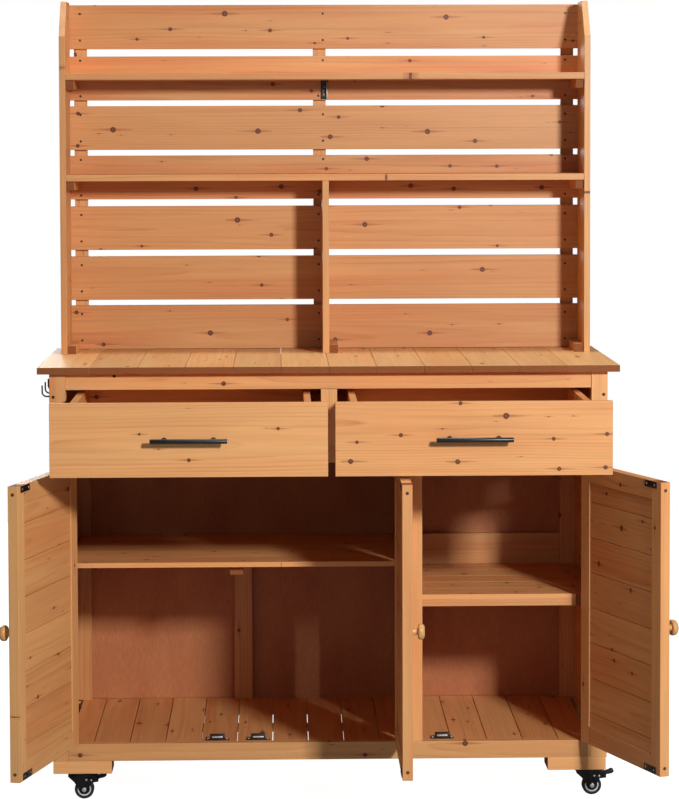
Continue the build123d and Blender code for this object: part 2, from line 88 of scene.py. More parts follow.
def add(tree, kind, inputs=None, **settings):
    """Adds a shader node. Inputs are values or output sockets, by the input's name or number."""
    node = tree.nodes.new("ShaderNode" + kind)
    for name, value in settings.items():
        setattr(node, name, value)
    for name, value in (inputs or {}).items():
        if isinstance(value, bpy.types.NodeSocket):
            tree.links.new(value, node.inputs[name])
        else:
            node.inputs[name].default_value = value
    return node


def new_material(name):
    """An empty node material with its Principled shader, both returned."""
    material = bpy.data.materials.new(name)
    material.use_nodes = True
    tree = material.node_tree
    tree.nodes.clear()
    shader = add(tree, "BsdfPrincipled")
    add(tree, "OutputMaterial", {"Surface": shader.outputs[0]})
    return material, tree, shader


def ramp(tree, factor, stops):
    """A colour ramp with stops of (place, linear colour)."""
    node = add(tree, "ValToRGB", {0: factor})
    elements = node.color_ramp.elements
    while len(elements) < len(stops):
        elements.new(0.5)
    for element, (place, colour) in zip(elements, stops):
        element.position = place
        element.color = colour
    return node.outputs[0]


# ------------------------------------------------------------------ wood
def math_node(tree, operation, a, b=0.0, c=0.0, clamp=False):
    """The result of a sum on one, two or three numbers."""
    return add(tree, "Math", {0: a, 1: b, 2: c}, operation=operation, use_clamp=clamp).outputs[0]


def fade(tree, value, start, stop):
    """1 where value is at start, falling smoothly to 0 at stop."""
    return add(tree, "MapRange", {0: value, 1: start, 2: stop, 3: 1.0, 4: 0.0},
               interpolation_type="SMOOTHSTEP").outputs[0]


def scaled(tree, place, along, across, deep):
    """A place counted in pattern lengths along, across and through a board."""
    return add(tree, "VectorMath", {0: place, 1: (1 / along, 1 / across, 1 / deep)},
               operation="MULTIPLY").outputs[0]


def mixed(tree, factor, a, b, blend="MIX"):
    """Colour a turning to colour b as the factor goes from 0 to 1."""
    return add(tree, "Mix", {0: factor, 6: a, 7: b}, data_type="RGBA", blend_type=blend).outputs[2]


def knots_in(tree, grain, cell, share, least, spread, seed):
    """Round knots in a share of the cells of a random pattern, their radius from least to least + spread.
    Gives how far inside a knot a point is, its dark rim, and the streaks that leave it along the grain."""
    cell_width = 0.7 * cell
    streak_length = 13.0  # in knot radii
    wobble = 1.6 * MM
    shifted = add(tree, "VectorMath", {0: grain, 1: (seed, 0.37 * seed, 0)}, operation="ADD").outputs[0]
    place = scaled(tree, shifted, cell, cell_width, 1.0)
    flat = add(tree, "VectorMath", {0: place, 1: (1, 1, 0)}, operation="MULTIPLY").outputs[0]
    cells = add(tree, "TexVoronoi", {"Vector": flat, "Scale": 1.0}, voronoi_dimensions="2D")
    chance, size, _ = add(tree, "SeparateXYZ", {0: cells.outputs["Color"]}).outputs
    here = math_node(tree, "LESS_THAN", chance, share)
    radius = math_node(tree, "MULTIPLY_ADD", size, spread, least)
    from_knot = add(tree, "VectorMath", {0: flat, 1: cells.outputs["Position"]},
                    operation="SUBTRACT").outputs[0]
    along, across, _ = add(tree, "SeparateXYZ", {0: from_knot}).outputs
    along = math_node(tree, "MULTIPLY", along, cell)
    across = math_node(tree, "MULTIPLY", across, cell_width)
    ragged_place = scaled(tree, grain, 5 * MM, 3 * MM, 6 * MM)
    ragged = add(tree, "TexNoise", {"Vector": ragged_place, "Scale": 1.0, "Detail": 2.0}).outputs[0]
    far = math_node(tree, "MULTIPLY_ADD", along, along, math_node(tree, "MULTIPLY", across, across))
    far = math_node(tree, "MULTIPLY_ADD", ragged, wobble, math_node(tree, "SQRT", far))
    far = math_node(tree, "DIVIDE", far, radius)
    inside = math_node(tree, "MULTIPLY", here, fade(tree, far, 1.0, 1.5))
    rim = math_node(tree, "MULTIPLY", inside, math_node(tree, "SUBTRACT", 1.0, fade(tree, far, 0.3, 0.9)))
    # A streak is a lens about the knot, about as wide as the knot and many times as long.
    thin = math_node(tree, "DIVIDE", math_node(tree, "ABSOLUTE", across), radius)
    longest = math_node(tree, "MULTIPLY", radius, streak_length)
    reach = math_node(tree, "DIVIDE", math_node(tree, "ABSOLUTE", along), longest)
    lens = math_node(tree, "ADD", thin, reach)
    lens = math_node(tree, "MULTIPLY_ADD", ragged, 0.5, lens)
    streak = math_node(tree, "MULTIPLY", here, fade(tree, lens, 0.5, 1.2))
    return inside, rim, streak


def fir(name, early, late, heart, knots=0.42, end_grain=0x80400F):
    """Planed fir boards under clear satin varnish: faint long streaks with a few thin dark lines, small
    knots with dark rims and streaks along the grain, and end grain that drinks the varnish and goes dark."""
    ring = 4.6 * MM
    fibre_length, fibre_width = 46 * MM, 1.5 * MM
    material, tree, shader = new_material(name)
    grain = add(tree, "Attribute", attribute_name="grain").outputs["Vector"]
    board = add(tree, "Attribute", attribute_name="board").outputs["Vector"]
    end = add(tree, "Attribute", attribute_name="end_grain").outputs["Fac"]
    tone, warmth, seed = add(tree, "SeparateXYZ", {0: board}).outputs

    def noise(length, width, detail=2.0, roughness=0.5):
        """Random tones that are long along the grain and narrow across it, different on every board."""
        stretched = scaled(tree, grain, length, width, width)
        return add(tree, "TexNoise", {"Vector": stretched, "W": seed, "Scale": 1.0, "Detail": detail,
                                      "Roughness": roughness}, noise_dimensions="4D").outputs[0]

    # Rings about the pith, bent by slow waves along the trunk.
    across = add(tree, "VectorMath", {0: grain, 1: (0, 1, 1)}, operation="MULTIPLY").outputs[0]
    pith = add(tree, "VectorMath", {0: across}, operation="LENGTH").outputs["Value"]
    waves = math_node(tree, "MULTIPLY_ADD", noise(650 * MM, 90 * MM, 1.0), 22 * MM, pith)
    waves = math_node(tree, "MULTIPLY_ADD", noise(110 * MM, 20 * MM, 1.0), 2.0 * MM, waves)
    rings = math_node(tree, "FRACT", math_node(tree, "DIVIDE", waves, ring))
    latewood = ramp(tree, rings, [(0.0, (0, 0, 0, 1)), (0.45, (0.1, 0.1, 0.1, 1)),
                                  (0.84, (0.5, 0.5, 0.5, 1)), (0.94, (0.75, 0.75, 0.75, 1)),
                                  (1.0, (0.05, 0.05, 0.05, 1))])
    # Most rings are faint. They darken only in narrow stretches, which read as a few dark lines.
    strong = math_node(tree, "MULTIPLY_ADD", noise(380 * MM, 9 * MM), 2.2, -0.85, clamp=True)
    latewood = math_node(tree, "MULTIPLY", latewood, math_node(tree, "MULTIPLY_ADD", strong, 0.8, 0.11))
    colour = mixed(tree, latewood, linear(early), linear(late))
    # The colour drifts between pink and honey over a hand's width.
    drift = math_node(tree, "MULTIPLY_ADD", noise(420 * MM, 42 * MM, 2.0), 2.4, -0.7, clamp=True)
    colour = mixed(tree, math_node(tree, "MULTIPLY", warmth, drift), colour, linear(heart), "MULTIPLY")
    fibres = noise(fibre_length, fibre_width, 3.0, 0.6)
    broad = noise(260 * MM, 13 * MM, 2.0)
    shade = math_node(tree, "MULTIPLY_ADD", fibres, 0.18, math_node(tree, "SUBTRACT", tone, 0.22))
    shade = math_node(tree, "MULTIPLY_ADD", broad, 0.26, shade)
    colour = add(tree, "VectorMath", {0: colour, 3: shade}, operation="SCALE").outputs[0]
    # Large knots, small pin knots, and the dark streaks that leave them.
    large, large_rim, large_streak = knots_in(tree, grain, cell=98 * MM, share=knots,
                                              least=2.7 * MM, spread=2.8 * MM, seed=3.1)
    small, small_rim, small_streak = knots_in(tree, grain, cell=52 * MM, share=0.3 * knots,
                                              least=1.0 * MM, spread=0.9 * MM, seed=7.7)
    streaks = math_node(tree, "MAXIMUM", large_streak, small_streak)
    knot = math_node(tree, "MAXIMUM", large, small)
    rim = math_node(tree, "MAXIMUM", large_rim, small_rim)
    colour = mixed(tree, math_node(tree, "MULTIPLY", streaks, 0.55), colour, linear(0x8F4719))
    colour = mixed(tree, math_node(tree, "MULTIPLY", knot, 0.85), colour, linear(0x84401A))
    colour = mixed(tree, math_node(tree, "MULTIPLY", rim, 0.8), colour, linear(0x451C08))
    # Cut ends show open pores instead of lines.
    pore = 1.6 * MM
    speckle = noise(pore, pore, 1.0)
    ends = math_node(tree, "MULTIPLY", end, math_node(tree, "MULTIPLY_ADD", speckle, 0.2, 0.84))
    colour = mixed(tree, ends, colour, linear(end_grain))
    tree.links.new(colour, shader.inputs["Base Color"])
    roughness = math_node(tree, "MULTIPLY_ADD", fibres, 0.16, 0.38)
    tree.links.new(math_node(tree, "MULTIPLY_ADD", end, 0.25, roughness), shader.inputs["Roughness"])
    relief = math_node(tree, "MULTIPLY_ADD", latewood, 0.4, math_node(tree, "MULTIPLY", fibres, 0.5))
    relief = math_node(tree, "MULTIPLY_ADD", knot, 0.6, relief)
    bump = add(tree, "Bump", {"Height": relief, "Strength": 0.4, "Distance": 0.1 * MM})
    tree.links.new(bump.outputs[0], shader.inputs["Normal"])
    shader.inputs["IOR"].default_value = 1.5
    shader.inputs["Specular IOR Level"].default_value = 0.4
    return material


def plywood(name):
    """Stained plywood with a rotary-peeled face: short upright flecks over soft, pale blotches, and a dull
    skin that shows no lines."""
    fleck_w, fleck_l, blotch = 2.6 * MM, 15 * MM, 90 * MM
    material, tree, shader = new_material(name)
    place = add(tree, "TexCoord").outputs["Object"]
    fleck_place = scaled(tree, place, fleck_w, fleck_w, fleck_l)
    flecks = add(tree, "TexNoise", {"Vector": fleck_place, "Scale": 1.0, "Detail": 3.0}).outputs[0]
    blotch_place = scaled(tree, place, blotch, blotch, 2.2 * blotch)
    blotches = add(tree, "TexNoise", {"Vector": blotch_place, "Scale": 1.0, "Detail": 3.0}).outputs[0]
    colour = ramp(tree, blotches, [(0.3, linear(0xA9623A)), (0.7, linear(0xB87748))])
    pale = ramp(tree, flecks, [(0.3, (0.86, 0.86, 0.86, 1)), (0.55, (1, 1, 1, 1)),
                               (0.8, (1.18, 1.14, 1.1, 1))])
    colour = mixed(tree, 1.0, colour, pale, "MULTIPLY")
    tree.links.new(colour, shader.inputs["Base Color"])
    tree.links.new(math_node(tree, "MULTIPLY_ADD", flecks, 0.2, 0.5), shader.inputs["Roughness"])
    bump = add(tree, "Bump", {"Height": flecks, "Strength": 0.35, "Distance": 0.1 * MM})
    tree.links.new(bump.outputs[0], shader.inputs["Normal"])
    return material


def coated(name, dark, pale, grit, roughness, metallic=0.0, bump_height=0.03):
    """A finish with a fine random surface, such as powder coat, moulded plastic or plating: two close
    shades, grit of a real size, and roughness that follows it."""
    material, tree, shader = new_material(name)
    place = add(tree, "TexCoord").outputs["Object"]
    fine = add(tree, "TexNoise", {"Vector": place, "Scale": 1 / grit, "Detail": 4.0,
                                  "Roughness": 0.6}).outputs[0]
    cloud = 25 * MM
    broad = add(tree, "TexNoise", {"Vector": place, "Scale": 1 / cloud, "Detail": 2.0}).outputs[0]
    both = add(tree, "Math", {0: fine, 1: broad}, operation="MULTIPLY").outputs[0]
    colour = ramp(tree, both, [(0.12, linear(dark)), (0.42, linear(pale))])
    tree.links.new(colour, shader.inputs["Base Color"])
    rough = add(tree, "Math", {0: fine, 1: 0.2, 2: roughness - 0.1}, operation="MULTIPLY_ADD").outputs[0]
    tree.links.new(rough, shader.inputs["Roughness"])
    bump = add(tree, "Bump", {"Height": fine, "Strength": 0.4, "Distance": bump_height * MM})
    tree.links.new(bump.outputs[0], shader.inputs["Normal"])
    shader.inputs["Metallic"].default_value = metallic
    return material


def turned_fir(name):
    """A knob turned from fir and varnished: pale, with short streaks along its axis and a brighter shine."""
    streak_length, streak_width = 20 * MM, 2 * MM
    material, tree, shader = new_material(name)
    place = add(tree, "TexCoord").outputs["Object"]
    stretched = scaled(tree, place, streak_width, streak_length, streak_width)
    streaks = add(tree, "TexNoise", {"Vector": stretched, "Scale": 1.0, "Detail": 3.0}).outputs[0]
    colour = ramp(tree, streaks, [(0.3, linear(0xC98D50)), (0.7, linear(0xE2AF72))])
    tree.links.new(colour, shader.inputs["Base Color"])
    rough = add(tree, "Math", {0: streaks, 1: 0.15, 2: 0.25}, operation="MULTIPLY_ADD").outputs[0]
    tree.links.new(rough, shader.inputs["Roughness"])
    return material


# Planed fir under clear varnish looks warm and honey-coloured, with a satin sheen over dark knots. The
# worktop's fir is paler than the rest: a painted lit copy standing in for the light falling on it from
# above. It also has fewer knots.
FIR_FRAME = fir("varnished_fir_frame", 0xDFA76C, 0xB06A31, 0xF2CBB6)
FIR_BOARDS = fir("varnished_fir_boards", 0xDBA066, 0xAD652D, 0xF0C2AC)
FIR_WORKTOP_PAINTED_LIT = fir("varnished_fir_worktop_painted_lit", 0xEAB97E, 0xC28044, 0xF6D6BC, knots=0.25)
# Stained plywood looks flat and red-brown, duller than the solid boards about it.
PLYWOOD = plywood("stained_plywood")
# Lathe-turned fir shines more than a planed board and shows almost no grain.
KNOB_WOOD = turned_fir("turned_fir")
# Powder-coated steel is near black, with a soft highlight and a faint orange-peel surface.
BLACK_STEEL = coated("black_coated_steel", 0x0B0B0C, 0x1B1B1D, 0.5 * MM, 0.34)
# Zinc plate is pale and bright, but too cloudy to mirror anything.
ZINC = coated("zinc_plated_steel", 0xC4C6C8, 0xEDEEF0, 0.8 * MM, 0.38, metallic=0.75)
# Enamelled castor forks are glossy, with small sharp highlights.
CASTOR_BLACK = coated("gloss_black_steel", 0x060607, 0x131315, 0.6 * MM, 0.2)
# Moulded nylon is a greyer black, with a wide dull highlight.
PEDAL_BLACK = coated("moulded_black_nylon", 0x0A0A0B, 0x1A1A1C, 0.5 * MM, 0.4)
# Moulded plastic gives the wheels a clean pale ring.
HUB_GREY = coated("moulded_grey_plastic", 0xC6C8CA, 0xE6E7E8, 0.6 * MM, 0.35)
# Pressed rubber is dusty black, and it scatters all highlights.
TYRE_RUBBER = coated("black_rubber", 0x0E0E0E, 0x232323, 0.7 * MM, 0.55, bump_height=0.06)
# Phosphated screws are a warm, flat near-black, so their heads read as dark dots.
SCREW_BLACK = coated("phosphated_screw_steel", 0x1A100A, 0x33231A, 0.4 * MM, 0.45)
# Bronzed screws are brown, close to the timber they sit in.
SCREW_BROWN = coated("bronzed_screw_steel", 0x4A2A12, 0x6E4522, 0.4 * MM, 0.4)
# Folded steel left oiled is dark grey, with a dull metal shine.
STEEL_DARK = coated("oiled_folded_steel", 0x2A2C2E, 0x46494C, 0.7 * MM, 0.35, metallic=0.6)
# The catches' moulded cases are black and slightly frosted.
CATCH_PLASTIC = coated("black_catch_plastic", 0x111113, 0x26262A, 0.5 * MM, 0.42)
MATERIALS = {
    "fir_frame": FIR_FRAME, "fir_boards": FIR_BOARDS, "fir_worktop": FIR_WORKTOP_PAINTED_LIT, "plywood": PLYWOOD,
    "turned_wood": KNOB_WOOD, "black_steel": BLACK_STEEL, "zinc_steel": ZINC,
    "castor_black": CASTOR_BLACK, "pedal_black": PEDAL_BLACK, "hub_grey": HUB_GREY,
    "tyre_black": TYRE_RUBBER, "catch_black": CATCH_PLASTIC,
}
for node_name, slot_name in RECORD_SLOTS.items():
    cad = frame["nodes"][node_name]
    cad.data.materials.clear()
    cad.data.materials.append(MATERIALS[slot_name])


# ------------------------------------------------------------------ pieces
def finish_piece(bm, name, materials, node, slot=None, stands_for=True):
    """Makes the mesh a piece that rides with the CAD node's body and, if it stands for it, hides it."""
    mesh = bpy.data.meshes.new(name)
    bm.to_mesh(mesh)
    bm.free()
    for material in materials:
        mesh.materials.append(material)
    piece = bpy.data.objects.new(name, mesh)
    bpy.context.scene.collection.objects.link(piece)
    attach(piece, frame["nodes"][node]["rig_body"])
    slot or RECORD_SLOTS[node]
    if stands_for:
        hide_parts(node)
    return piece


def solid_groups(faces):
    """Splits the faces, in their stored order, into closed solids: one ends where all its edges pair up."""
    open_edges, group = set(), []
    for face in faces:
        corners = [tuple(round(c, 6) for c in loop.vert.co) for loop in face.loops]
        for a, b in zip(corners, corners[1:] + corners[:1]):
            if (b, a) in open_edges:
                open_edges.discard((b, a))
            else:
                open_edges.add((a, b))
        group.append(face)
        if not open_edges:
            yield group
            group = []


def unique(items):
    """The items without repeats, in the order they first come, so that every run makes the same mesh."""
    return list(dict.fromkeys(items))


def merged_copy(node):
    """A bmesh of the CAD node with each solid's loose triangles joined into whole flat faces."""
    bm = bmesh.new()
    bm.from_mesh(frame["nodes"][node].data)
    groups = [unique(v for face in group for v in face.verts) for group in solid_groups(bm.faces)]
    for verts in groups:
        bmesh.ops.remove_doubles(bm, verts=verts, dist=1e-6)
    bmesh.ops.dissolve_limit(bm, angle_limit=math.radians(0.5), verts=bm.verts[:], edges=bm.edges[:])
    return bm


def islands(bm):
    """The connected parts of a bmesh, each as a list of its vertices."""
    left = set(bm.verts)
    for start in bm.verts:
        if start not in left:
            continue
        found, queue = [], [start]
        left.discard(start)
        while queue:
            vert = queue.pop()
            found.append(vert)
            for edge in vert.link_edges:
                other = edge.other_vert(vert)
                if other in left:
                    left.discard(other)
                    queue.append(other)
        yield found


def solid_boxes(node):
    """The lowest and highest corners of each solid of a CAD node."""
    bm = bmesh.new()
    bm.from_mesh(frame["nodes"][node].data)
    boxes = []
    for group in solid_groups(bm.faces):
        places = [v.co for face in group for v in face.verts]
        boxes.append((Vector(min(p[i] for p in places) for i in range(3)),
                      Vector(max(p[i] for p in places) for i in range(3))))
    bm.free()
    return boxes


def round_edges(bm, width, least_angle=20, segments=2):
    """Softens the sharp edges, one solid at a time, so that a tight spot in one doesn't thin the others."""
    for verts in list(islands(bm)):
        edges = unique(e for v in verts for e in v.link_edges)
        sharp = [e for e in edges if len(e.link_faces) == 2
                 and e.calc_face_angle(0) > math.radians(least_angle)]
        bmesh.ops.bevel(bm, geom=sharp, offset=width, affect="EDGES", segments=segments, profile=0.5,
                        material=-1, clamp_overlap=True)


def smooth_round_faces(bm):
    """Shades curved faces smoothly and leaves a crease where two faces meet at more than a slight angle."""
    for face in bm.faces:
        face.smooth = True
    for edge in bm.edges:
        edge.smooth = len(edge.link_faces) == 2 and edge.calc_face_angle(0) < math.radians(32)


def board_axes(verts):
    """The length, width and thickness directions of a board, from its longest edges."""
    edges = unique(e for v in verts for e in v.link_edges)
    runs = sorted(edges, key=lambda e: -round(e.calc_length(), 6))
    along = (runs[0].verts[1].co - runs[0].verts[0].co).normalized()
    for run in runs:
        wide = (run.verts[1].co - run.verts[0].co).normalized()
        if abs(wide.dot(along)) < 0.01:
            break
    along = along if max(along, key=abs) > 0 else -along
    wide = wide if max(wide, key=abs) > 0 else -wide
    return along, wide, along.cross(wide)


def mark_grain(bm, rng, tones, warmths):
    """Writes each board's grain place, tone and end faces, for the wood materials to read."""
    grain = bm.verts.layers.float_vector.new("grain")
    board = bm.verts.layers.float_vector.new("board")
    end = bm.faces.layers.float.new("end_grain")
    for verts in islands(bm):
        axes = board_axes(verts)
        centre = sum((v.co for v in verts), Vector()) / len(verts)
        start = rng.uniform(0, 30)
        # The board was sawn off to one side of the trunk's middle.
        pith = Vector((0, rng.uniform(-0.05, 0.05), rng.choice((-1, 1)) * rng.uniform(0.03, 0.08)))
        facts = Vector((rng.uniform(*tones), rng.uniform(*warmths), rng.uniform(0, 20)))
        for v in verts:
            place = Vector([(v.co - centre).dot(axis) for axis in axes])
            v[grain] = place + pith + Vector((start, 0, 0))
            v[board] = facts
        for face in unique(f for v in verts for f in v.link_faces):
            face[end] = float(abs(face.normal.dot(axes[0])) > 0.8)


def wooden(node, tones, warmths=(0.1, 0.9), arris=0.8):
    """The boards of one CAD node with their edges eased and their own grain."""
    bm = merged_copy(node)
    round_edges(bm, arris * MM)
    mark_grain(bm, random.Random(node), tones, warmths)
    return finish_piece(bm, node + "_wood", [MATERIALS[RECORD_SLOTS[node]]], node)


def turned(profile, steps=48):
    """A solid turned about Z from (radius, height) points. A profile that leaves the axis is closed up."""
    bm = bmesh.new()
    verts = [bm.verts.new((r, 0, z)) for r, z in profile]
    pairs = list(zip(verts, verts[1:]))
    if profile[0][0] > 0:
        pairs.append((verts[-1], verts[0]))
    edges = [bm.edges.new(pair) for pair in pairs]
    bmesh.ops.spin(bm, geom=verts + edges, axis=(0, 0, 1), cent=(0, 0, 0), steps=steps,
                   angle=2 * math.pi, use_merge=True, use_duplicate=False)
    bmesh.ops.remove_doubles(bm, verts=bm.verts[:], dist=1e-7)
    bmesh.ops.recalc_face_normals(bm, faces=bm.faces[:])
    for face in bm.faces:
        face.smooth = True
    return bm


def arc(centre, radius, start, stop, steps=6):
    """Points of an arc in a profile, by angle in degrees from the radius direction."""
    angles = [math.radians(start + (stop - start) * i / steps) for i in range(steps + 1)]
    return [(centre[0] + radius * math.cos(a), centre[1] + radius * math.sin(a)) for a in angles]


def placed(bm, place, direction):
    """Turns a shape made about Z to point along a direction, and puts its origin at a place."""
    turn = Vector(direction).to_track_quat("Z", "Y").to_matrix().to_4x4()
    bmesh.ops.transform(bm, matrix=Matrix.Translation(place) @ turn, verts=bm.verts[:])
    return bm


def joined(parts):
    """One bmesh from several. A part's faces take the material number given with it, or keep their own
    if that is None."""
    whole = bmesh.new()
    for part, number in parts:
        if number is not None:
            for face in part.faces:
                face.material_index = number
        scratch = bpy.data.meshes.new("scratch")
        part.to_mesh(scratch)
        part.free()
        whole.from_mesh(scratch)
        bpy.data.meshes.remove(scratch)
    return whole


def screw_head(radius, height, depth):
    """A raised countersunk head with a cross recess, standing on Z = 0."""
    bm = bmesh.new()
    bmesh.ops.create_cone(bm, cap_ends=True, segments=16, radius1=radius, radius2=radius * 0.8,
                          depth=height, matrix=Matrix.Translation((0, 0, height / 2)))
    top = max(bm.faces, key=lambda f: f.calc_center_median().z)
    bmesh.ops.inset_individual(bm, faces=[top], thickness=radius * 0.25)
    rim = list(top.verts)
    # The recess is a four-pointed cross: every fourth corner reaches out, the ones between pull in.
    reach = (0.55, 0.26, 0.18, 0.26)
    for i, vert in enumerate(rim):
        direction = Vector((vert.co.x, vert.co.y, 0)).normalized()
        vert.co = direction * radius * reach[i % 4] + Vector((0, 0, height))
    bmesh.ops.inset_individual(bm, faces=[top], thickness=radius * 0.02, depth=-depth)
    return bm


# Some pieces were cut from paler or darker timber than the rest.
TIMBER_TONES = {
    "hutch_slats": (0.86, 0.98), "left_shelf": (1.12, 1.22), "right_shelf": (1.12, 1.22),
    "castor_blocks": (1.14, 1.2), "left_drawer_front": (1.1, 1.14), "right_drawer_front": (1.1, 1.14),
    "worktop_boards": (0.88, 1.16), "corner_posts": (1.0, 1.1), "mid_posts": (1.06, 1.14),
    "left_door_planks": (0.98, 1.12), "right_door_planks": (0.9, 1.02), "back_battens": (0.8, 0.9),
}
USUAL_TONES = (0.92, 1.08)
for wood_node in sorted(RECORD_SLOTS):
    if RECORD_SLOTS[wood_node] in ("fir_frame", "fir_boards", "fir_worktop", "plywood"):
        wooden(wood_node, TIMBER_TONES.get(wood_node, USUAL_TONES))


# ------------------------------------------------------------------ fittings
def softened(node, width=0.3):
    """A copy of a CAD node with its sharp edges softened."""
    bm = merged_copy(node)
    round_edges(bm, width * MM, least_angle=32)
    return bm


def span(verts):
    """The middle of some vertices and their size along each axis."""
    low = Vector(min(v.co[i] for v in verts) for i in range(3))
    high = Vector(max(v.co[i] for v in verts) for i in range(3))
    return (low + high) / 2, high - low


def paint(verts, number):
    """Gives the faces about some vertices a material number."""
    for face in unique(f for v in verts for f in v.link_faces):
        face.material_index = number


def fitting(node, materials, width=0.3, numbers=None, extras=()):
    """A fitting made from the CAD node's solids. numbers gives the material number of a solid from its
    middle and size, and extras are loose details that ride with it as (shape, material number)."""
    body = softened(node, width)
    if numbers:
        for verts in list(islands(body)):
            paint(verts, numbers(*span(verts)))
    whole = joined([(body, None), *extras])
    smooth_round_faces(whole)
    return finish_piece(whole, node + "_fitting", materials, node)


def pulls():
    """Bar pulls: each post spreads into a small foot where it meets the drawer front."""
    foot_radius, edge_height, foot_height, fillet = 5.4 * MM, 0.8 * MM, 2.6 * MM, 1.2 * MM
    for side in ("left", "right"):
        node = side + "_drawer_pull"
        feet = []
        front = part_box(side + "_drawer_front")[0].y
        for low, high in solid_boxes(node)[1:]:
            hollow = arc((4.1 * MM, foot_height), fillet, -70, -180)
            foot = turned([(0, 0), (foot_radius, 0), (foot_radius, edge_height), *hollow, (0, foot_height)],
                          steps=32)
            post = ((low.x + high.x) / 2, front, (low.z + high.z) / 2)
            feet.append((placed(foot, post, (0, -1, 0)), 0))
        fitting(node, [BLACK_STEEL], width=1.1, extras=feet)


def screws():
    """Small countersunk wood screws with a cross recess, sunk nearly flush."""
    heads = []
    for low, high in solid_boxes("wood_screws"):
        place = Vector(((low.x + high.x) / 2, high.y, (low.z + high.z) / 2))
        head = screw_head((high.x - low.x) / 2, high.y - low.y, 0.3 * MM)
        heads.append((placed(head, place, (0, -1, 0)), 0))
    finish_piece(joined(heads), "wood_screw_heads", [SCREW_BLACK], "wood_screws")


def door_plates():
    """Strike plates with two bright screws each, hinge leaves, and the brown screws in the door's edge."""
    edge_screw_height, leaf_height, sunk = 8 * MM, 20 * MM, 0.05 * MM
    for door_name in ("left_door", "middle_door", "right_door"):
        node = door_name + "_plates"
        planks = middle(door_name + "_planks")
        bm = merged_copy(node)
        extras = []
        for verts in list(islands(bm)):
            centre, size = span(verts)
            along, wide, flat = board_axes(verts)
            if not edge_screw_height <= size.z <= leaf_height:
                continue
            # What is left is a strike plate. Its screws face away from the door's planks.
            spread = max(v.co.dot(along) for v in verts) - centre.dot(along)
            out = flat if abs(flat.z) < 0.5 else wide
            out = out if (centre - planks).dot(out) > 0 else -out
            for end in (-1, 1):
                place = centre + along * end * spread * 0.68 - out * sunk
                extras.append((placed(screw_head(2.9 * MM, 0.8 * MM, 0.4 * MM), place, out), 1))
        bm.free()
        fitting(node, [BLACK_STEEL, ZINC, SCREW_BROWN], width=0.15, extras=extras,
                numbers=lambda centre, size: 2 if size.z < edge_screw_height else 0)


def catches():
    """Magnetic catches: a moulded case with a bright steel strip on its nose and a screw in each ear."""
    ear_reach, ear_height = 19.5 * MM, 2.5 * MM
    strip_size, strip_height, strip_depth = (22 * MM, 1.0 * MM, 3.2 * MM, 1), 7 * MM, 0.42 * MM
    extras = []
    for low, high in solid_boxes("door_catches"):
        centre = (low + high) / 2
        up = 1 if centre.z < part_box("mid_posts")[1].z / 2 else -1
        foot = low.z if up > 0 else high.z
        for end in (-1, 1):
            place = Vector((centre.x + end * ear_reach, centre.y, foot + up * ear_height))
            extras.append((placed(screw_head(2.8 * MM, 1.0 * MM, 0.4 * MM), place, (0, 0, up)), 1))
        strip = bmesh.new()
        strip_place = Matrix.Translation((centre.x, low.y + strip_depth, foot + up * strip_height))
        bmesh.ops.create_cube(strip, size=1, matrix=strip_place @ Matrix.Diagonal(strip_size))
        round_edges(strip, 0.3 * MM)
        extras.append((strip, 1))
    fitting("door_catches", [CATCH_PLASTIC, ZINC], width=0.6, extras=extras)


def castor_details():
    """The forks with their bright axle ends, the two-tone wheels, and the brake springs' rivets in front."""
    fork_width, hub_face_radius, rivet_x, rivet_z = 20 * MM, 10.9 * MM, 4.5 * MM, 41 * MM
    for row in ("front", "rear"):
        for side in ("left", "right"):
            name = row + "_" + side + "_castor"
            axle = middle(name + "_hub")
            extras = []
            if row == "front":
                for face in (-1, 1):
                    reach = max(abs(corner.y - axle.y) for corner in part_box(name + "_fork"))
                    place = Vector((axle.x + rivet_x, axle.y + face * (reach - 1.6 * MM), rivet_z))
                    rivet = turned([(0, 0), (2.5 * MM, 0), *arc((1.5 * MM, 0.2 * MM), 1.0 * MM, 0, 90),
                                    (0, 1.25 * MM)], steps=24)
                    extras.append((placed(rivet, place, (0, face, 0)), 1))
            fitting(name + "_fork", [CASTOR_BLACK, ZINC], width=0.4, extras=extras,
                    numbers=lambda centre, size: 0 if size.x > fork_width else 1)
            # The wheel's rim is pale, and the cap over its bearing is black.
            hub = softened(name + "_hub", 0.5)
            for face in hub.faces:
                spots = [v.co - axle for v in face.verts]
                rim = min(math.hypot(spot.x, spot.z) for spot in spots) > hub_face_radius
                face.material_index = 0 if rim else 1
            smooth_round_faces(hub)
            finish_piece(hub, name + "_hub_fitting", [HUB_GREY, CASTOR_BLACK], name + "_hub")
            fitting(name + "_tyre", [TYRE_RUBBER], width=0.3)


def bracket():
    """The shelf bracket: dark folded steel with a narrow raised flange along its right edge, coloured pale
    zinc as a painted highlight where the key light catches that edge.
    """
    low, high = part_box("shelf_bracket")
    width, depth, height = 2.4 * MM, 5 * MM, high.z - low.z - 3 * MM
    # The flange's pale zinc is a painted highlight: the key light catching the bracket's right edge, not a
    # different metal.
    pale_highlight_flange = bmesh.new()
    pale_highlight_flange_place = Matrix.Translation((high.x - 1.8 * MM, high.y - 3 * MM, low.z + height / 2))
    bmesh.ops.create_cube(pale_highlight_flange, size=1, matrix=pale_highlight_flange_place @ Matrix.Diagonal((width, depth, height, 1)))
    round_edges(pale_highlight_flange, 0.8 * MM)
    fitting("shelf_bracket", [STEEL_DARK, ZINC], width=0.5, extras=[(pale_highlight_flange, 1)])


pulls()
screws()
bracket()
door_plates()
catches()
castor_details()
